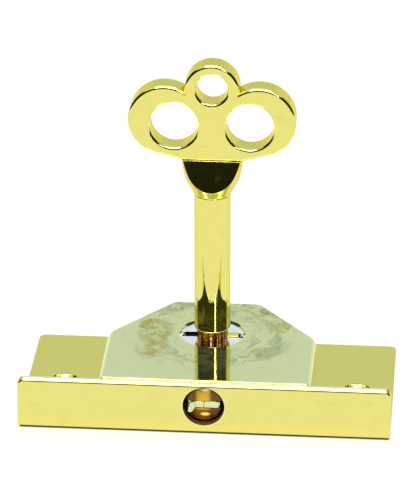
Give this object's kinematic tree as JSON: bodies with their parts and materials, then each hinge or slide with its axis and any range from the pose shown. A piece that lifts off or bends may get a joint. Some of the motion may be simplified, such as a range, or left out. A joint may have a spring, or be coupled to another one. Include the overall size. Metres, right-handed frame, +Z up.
{
  "type": "lock with key",
  "caption": "Small brass bolt lock with its key: flanged L bracket, closed case with a round keyhole, rotor, sliding bolt with spreading hooks, and a cloverleaf key.",
  "frame": {"origin": "centre of the base plate's underside", "axes": "+X along the flange, -Y out of the flange's front face where the bolt comes out, +Z up the key's shank"},
  "size_m": [0.076, 0.0388, 0.072],
  "materials": {
    "brass": "polished",
    "brass_case": "polished, stained",
    "key_brass": "polished",
    "bolt_brass": "satin",
    "post_brass": "satin",
    "brass_inner": "satin",
    "nickel": "satin",
    "steel": "satin"
  },
  "bodies": {
    "lock_body": {"mounting_bracket": "brass", "case_cover": "brass_case", "cover_post_1": "brass_inner", "cover_post_2": "brass_inner", "cover_post_3": "brass_inner", "cover_post_4": "brass_inner", "guide_rail_left": "brass_inner", "guide_rail_right": "brass_inner", "rotor_stud": "steel"},
    "rotor": {"rotor": "nickel", "drive_pin": "steel"},
    "key": {"key_bow": "key_brass", "key_sleeve": "key_brass", "key_post": "post_brass", "key_bit": "key_brass"},
    "bolt": {"bolt_head": "bolt_brass", "bolt_slide": "steel", "slide_rivet_left": "brass_inner", "slide_rivet_right": "brass_inner", "hook_pin_left": "steel", "hook_pin_right": "steel"},
    "hook_left": {"hook_left": "steel"},
    "hook_right": {"hook_right": "steel"}
  },
  "joints": [
    {"name": "key_turn", "type": "hinge", "parent": "lock_body", "child": "rotor", "pos_m": [0, 0.00435, 0], "axis": [0, 0, -1], "range_deg": [0, 90]},
    {"name": "key_lift", "type": "slide", "parent": "rotor", "child": "key", "axis": [0, 0, 1], "range_m": [0, 0.02]},
    {"name": "bolt_throw", "type": "slide", "parent": "lock_body", "child": "bolt", "axis": [0, -1, 0], "range_m": [0, 0.00802]},
    {"name": "hook_left_spread", "type": "hinge", "parent": "bolt", "child": "hook_left", "pos_m": [-0.00141, -0.01195, 0.00617], "axis": [0, 0, -1], "range_deg": [0, 35.1]},
    {"name": "hook_right_spread", "type": "hinge", "parent": "bolt", "child": "hook_right", "pos_m": [0.00141, -0.01195, 0.00617], "axis": [0, 0, 1], "range_deg": [0, 35.1]}
  ],
  "couplings": [
    {"joint": "bolt_throw", "follows": "key_turn", "m_per_rad": 0.005103},
    {"joint": "hook_left_spread", "follows": "key_turn", "ratio": 0.38889},
    {"joint": "hook_right_spread", "follows": "key_turn", "ratio": 0.38889}
  ]
}
